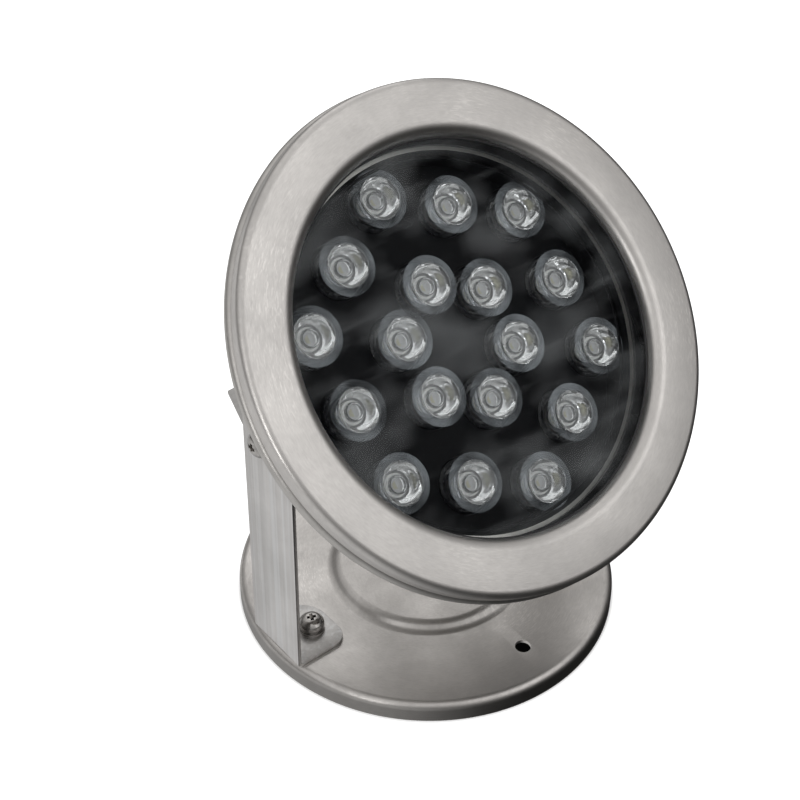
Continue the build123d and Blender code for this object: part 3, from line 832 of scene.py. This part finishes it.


# ---- studio ----
# White floor that glows evenly, with a painted shadow under the base where it turns near-black and stops glowing,
# four softboxes round the lamp, and a sky that is brightest overhead and darker low down and to the right, so that
# rounded metal edges shade off.

FLOOR_HALF = 60.0
bpy.context.scene.view_settings.view_transform = "Standard"
floor_mesh = bmesh.new()
bmesh.ops.create_grid(floor_mesh, x_segments=1, y_segments=1, size=FLOOR_HALF)
floor = bpy.data.objects.new("floor", bpy.data.meshes.new("floor"))
floor_mesh.to_mesh(floor.data)
floor_mesh.free()
bpy.context.scene.collection.objects.link(floor)
paper, tree, shader = blank("paper")
from_centre = vector_math(tree, "LENGTH", {0: object_place(tree)}, "Value")
base_share = scalar_math(tree, "MULTIPLY", from_centre, 1 / BASE_R)
# Painted shadow: the floor's colour drops to near-black under the base.
tree.links.new(ramp(tree, base_share, [(0.93, 0.01), (0.985, 0.85)]), shader.inputs["Base Color"])
shader.inputs["Roughness"].default_value = 1.0
shader.inputs["Specular IOR Level"].default_value = 0.0
shader.inputs["Emission Color"].default_value = (1, 1, 1, 1)
# The glow fades out at the base's edge, so the floor under the base stays dark as painted shadow.
glow_outside_painted_shadow = remapped(tree, base_share, (0.985, 1.025), (0.0, 0.8), interpolation_type="SMOOTHSTEP")
tree.links.new(glow_outside_painted_shadow, shader.inputs["Emission Strength"])
floor.data.materials.append(paper)
floor.visible_glossy = False

world = bpy.data.worlds.new("studio")
bpy.context.scene.world = world
world.use_nodes = True
tree = world.node_tree
heading = node(tree, "ShaderNodeTexCoord").outputs["Generated"]


def toward(direction, low, high):
    """How far a sky direction leans toward a given one, from 0 to 1."""
    lean = vector_math(tree, "DOT_PRODUCT", {0: heading, 1: direction}, "Value")
    return remapped(tree, lean, (low, high), (0.0, 1.0), interpolation_type="SMOOTHSTEP")


sky = mixed(tree, toward((0, 0, 1), 0.1, 0.8), (0.27, 0.267, 0.264), (0.95, 0.945, 0.94))
sky = mixed(tree, toward((0.8, -0.1, -0.55), 0.15, 0.85), sky, (0.04, 0.04, 0.04))
ground = mixed(tree, toward((-0.9, 0.44, 0), -0.4, 0.65), (0.03, 0.03, 0.03), (0.95, 0.95, 0.95))
sky = mixed(tree, toward((0, 0, 1), -0.12, 0.05), ground, sky)
background = tree.nodes["Background"]
tree.links.new(sky, background.inputs["Color"])
background.inputs["Strength"].default_value = 0.8


def softbox(name, direction, distance, size, power):
    """Square area light at a distance in a direction from the pivot, facing it."""
    light = bpy.data.lights.new(name, "AREA")
    light.shape = "SQUARE"
    light.size = size
    light.energy = power
    box = bpy.data.objects.new(name, light)
    bpy.context.scene.collection.objects.link(box)
    outward = Vector(direction).normalized()
    box.location = pivot + outward * distance
    box.rotation_euler = outward.to_track_quat("Z", "Y").to_euler()


softbox("key", (0.30, -0.70, 0.64), 1.4, 1.1, 2.0)
softbox("left_fill", (-0.9, -0.2, 0.55), 1.3, 0.6, 0.8)
softbox("back_fill", (0.5, 0.75, 0.6), 1.5, 0.9, 1.2)
softbox("left_strip", (-0.9, -0.36, 0.26), 1.2, 0.16, 1.0)

camera_data = bpy.data.cameras.new("camera")
camera_data.sensor_width = 36.0
camera_data.lens = 72.62
camera = bpy.data.objects.new("camera", camera_data)
bpy.context.scene.collection.objects.link(camera)
camera.matrix_world = Matrix((
    (0.77699, 0.38608, -0.49721, -0.29833),
    (-0.62939, 0.49144, -0.60195, -0.34366),
    (0.01195, 0.78065, 0.62485, 0.45361),
    (0, 0, 0, 1),
))
bpy.context.scene.camera = camera
